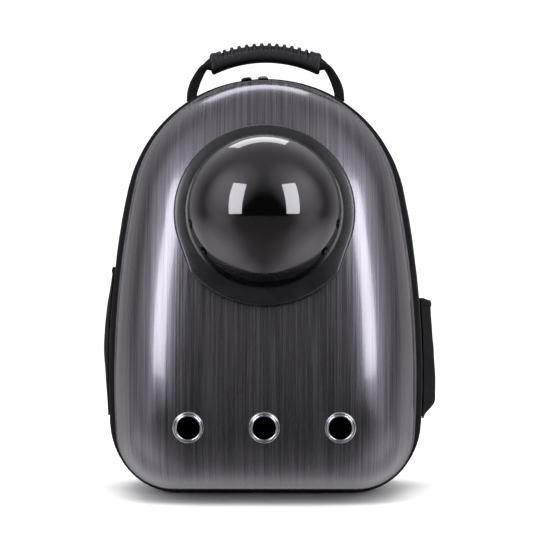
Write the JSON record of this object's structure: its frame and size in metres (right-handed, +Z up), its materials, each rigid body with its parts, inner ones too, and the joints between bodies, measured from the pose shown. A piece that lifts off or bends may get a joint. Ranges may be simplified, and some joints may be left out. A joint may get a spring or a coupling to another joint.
{
  "type": "bubble pet carrier backpack",
  "caption": "Backpack for carrying a small pet: hard front shell with a clear bubble window and vent eyelets, zipped to a soft bag with side pockets, handle and shoulder straps.",
  "frame": {"origin": "middle of the flat fabric base that the bag stands on", "axes": "+Z up, -Y out of the front with the bubble, +X to the right seen from the front"},
  "size_m": [0.3473, 0.3457, 0.4648],
  "materials": {
    "shell": "grey brushed-look film under a clear gloss coat, fine upright streaks",
    "ring": "black moulded plastic, semi-gloss",
    "dome": "smoked clear polycarbonate, polished",
    "eyelets": "polished chrome plate",
    "zipper": "woven black zipper tape with coil teeth",
    "zipper_metal": "gunmetal plated die casting",
    "cloth": "black polyester oxford cloth",
    "padding": "black air mesh over foam",
    "grip": "moulded black rubber, satin",
    "webbing": "black polyester webbing, ribbed weave",
    "buckle": "black moulded acetal"
  },
  "bodies": {
    "root": {"hard_shell": "shell", "bubble_ring": "ring", "bubble_dome": "dome", "eyelet_left": "eyelets", "eyelet_middle": "eyelets", "eyelet_right": "eyelets", "zipper_band": "zipper", "zipper_slider_left": "zipper_metal", "zipper_slider_right": "zipper_metal", "zipper_pull_left": "zipper_metal", "zipper_pull_right": "zipper_metal", "fabric_body": "cloth", "side_pocket_left": "cloth", "side_pocket_right": "cloth", "back_pad": "padding", "handle_grip": "grip", "handle_web_left": "webbing", "handle_web_right": "webbing", "shoulder_strap_left": "padding", "shoulder_strap_right": "padding", "strap_buckle_left": "buckle", "strap_buckle_right": "buckle", "strap_web_left": "webbing", "strap_web_right": "webbing"}
  },
  "joints": []
}
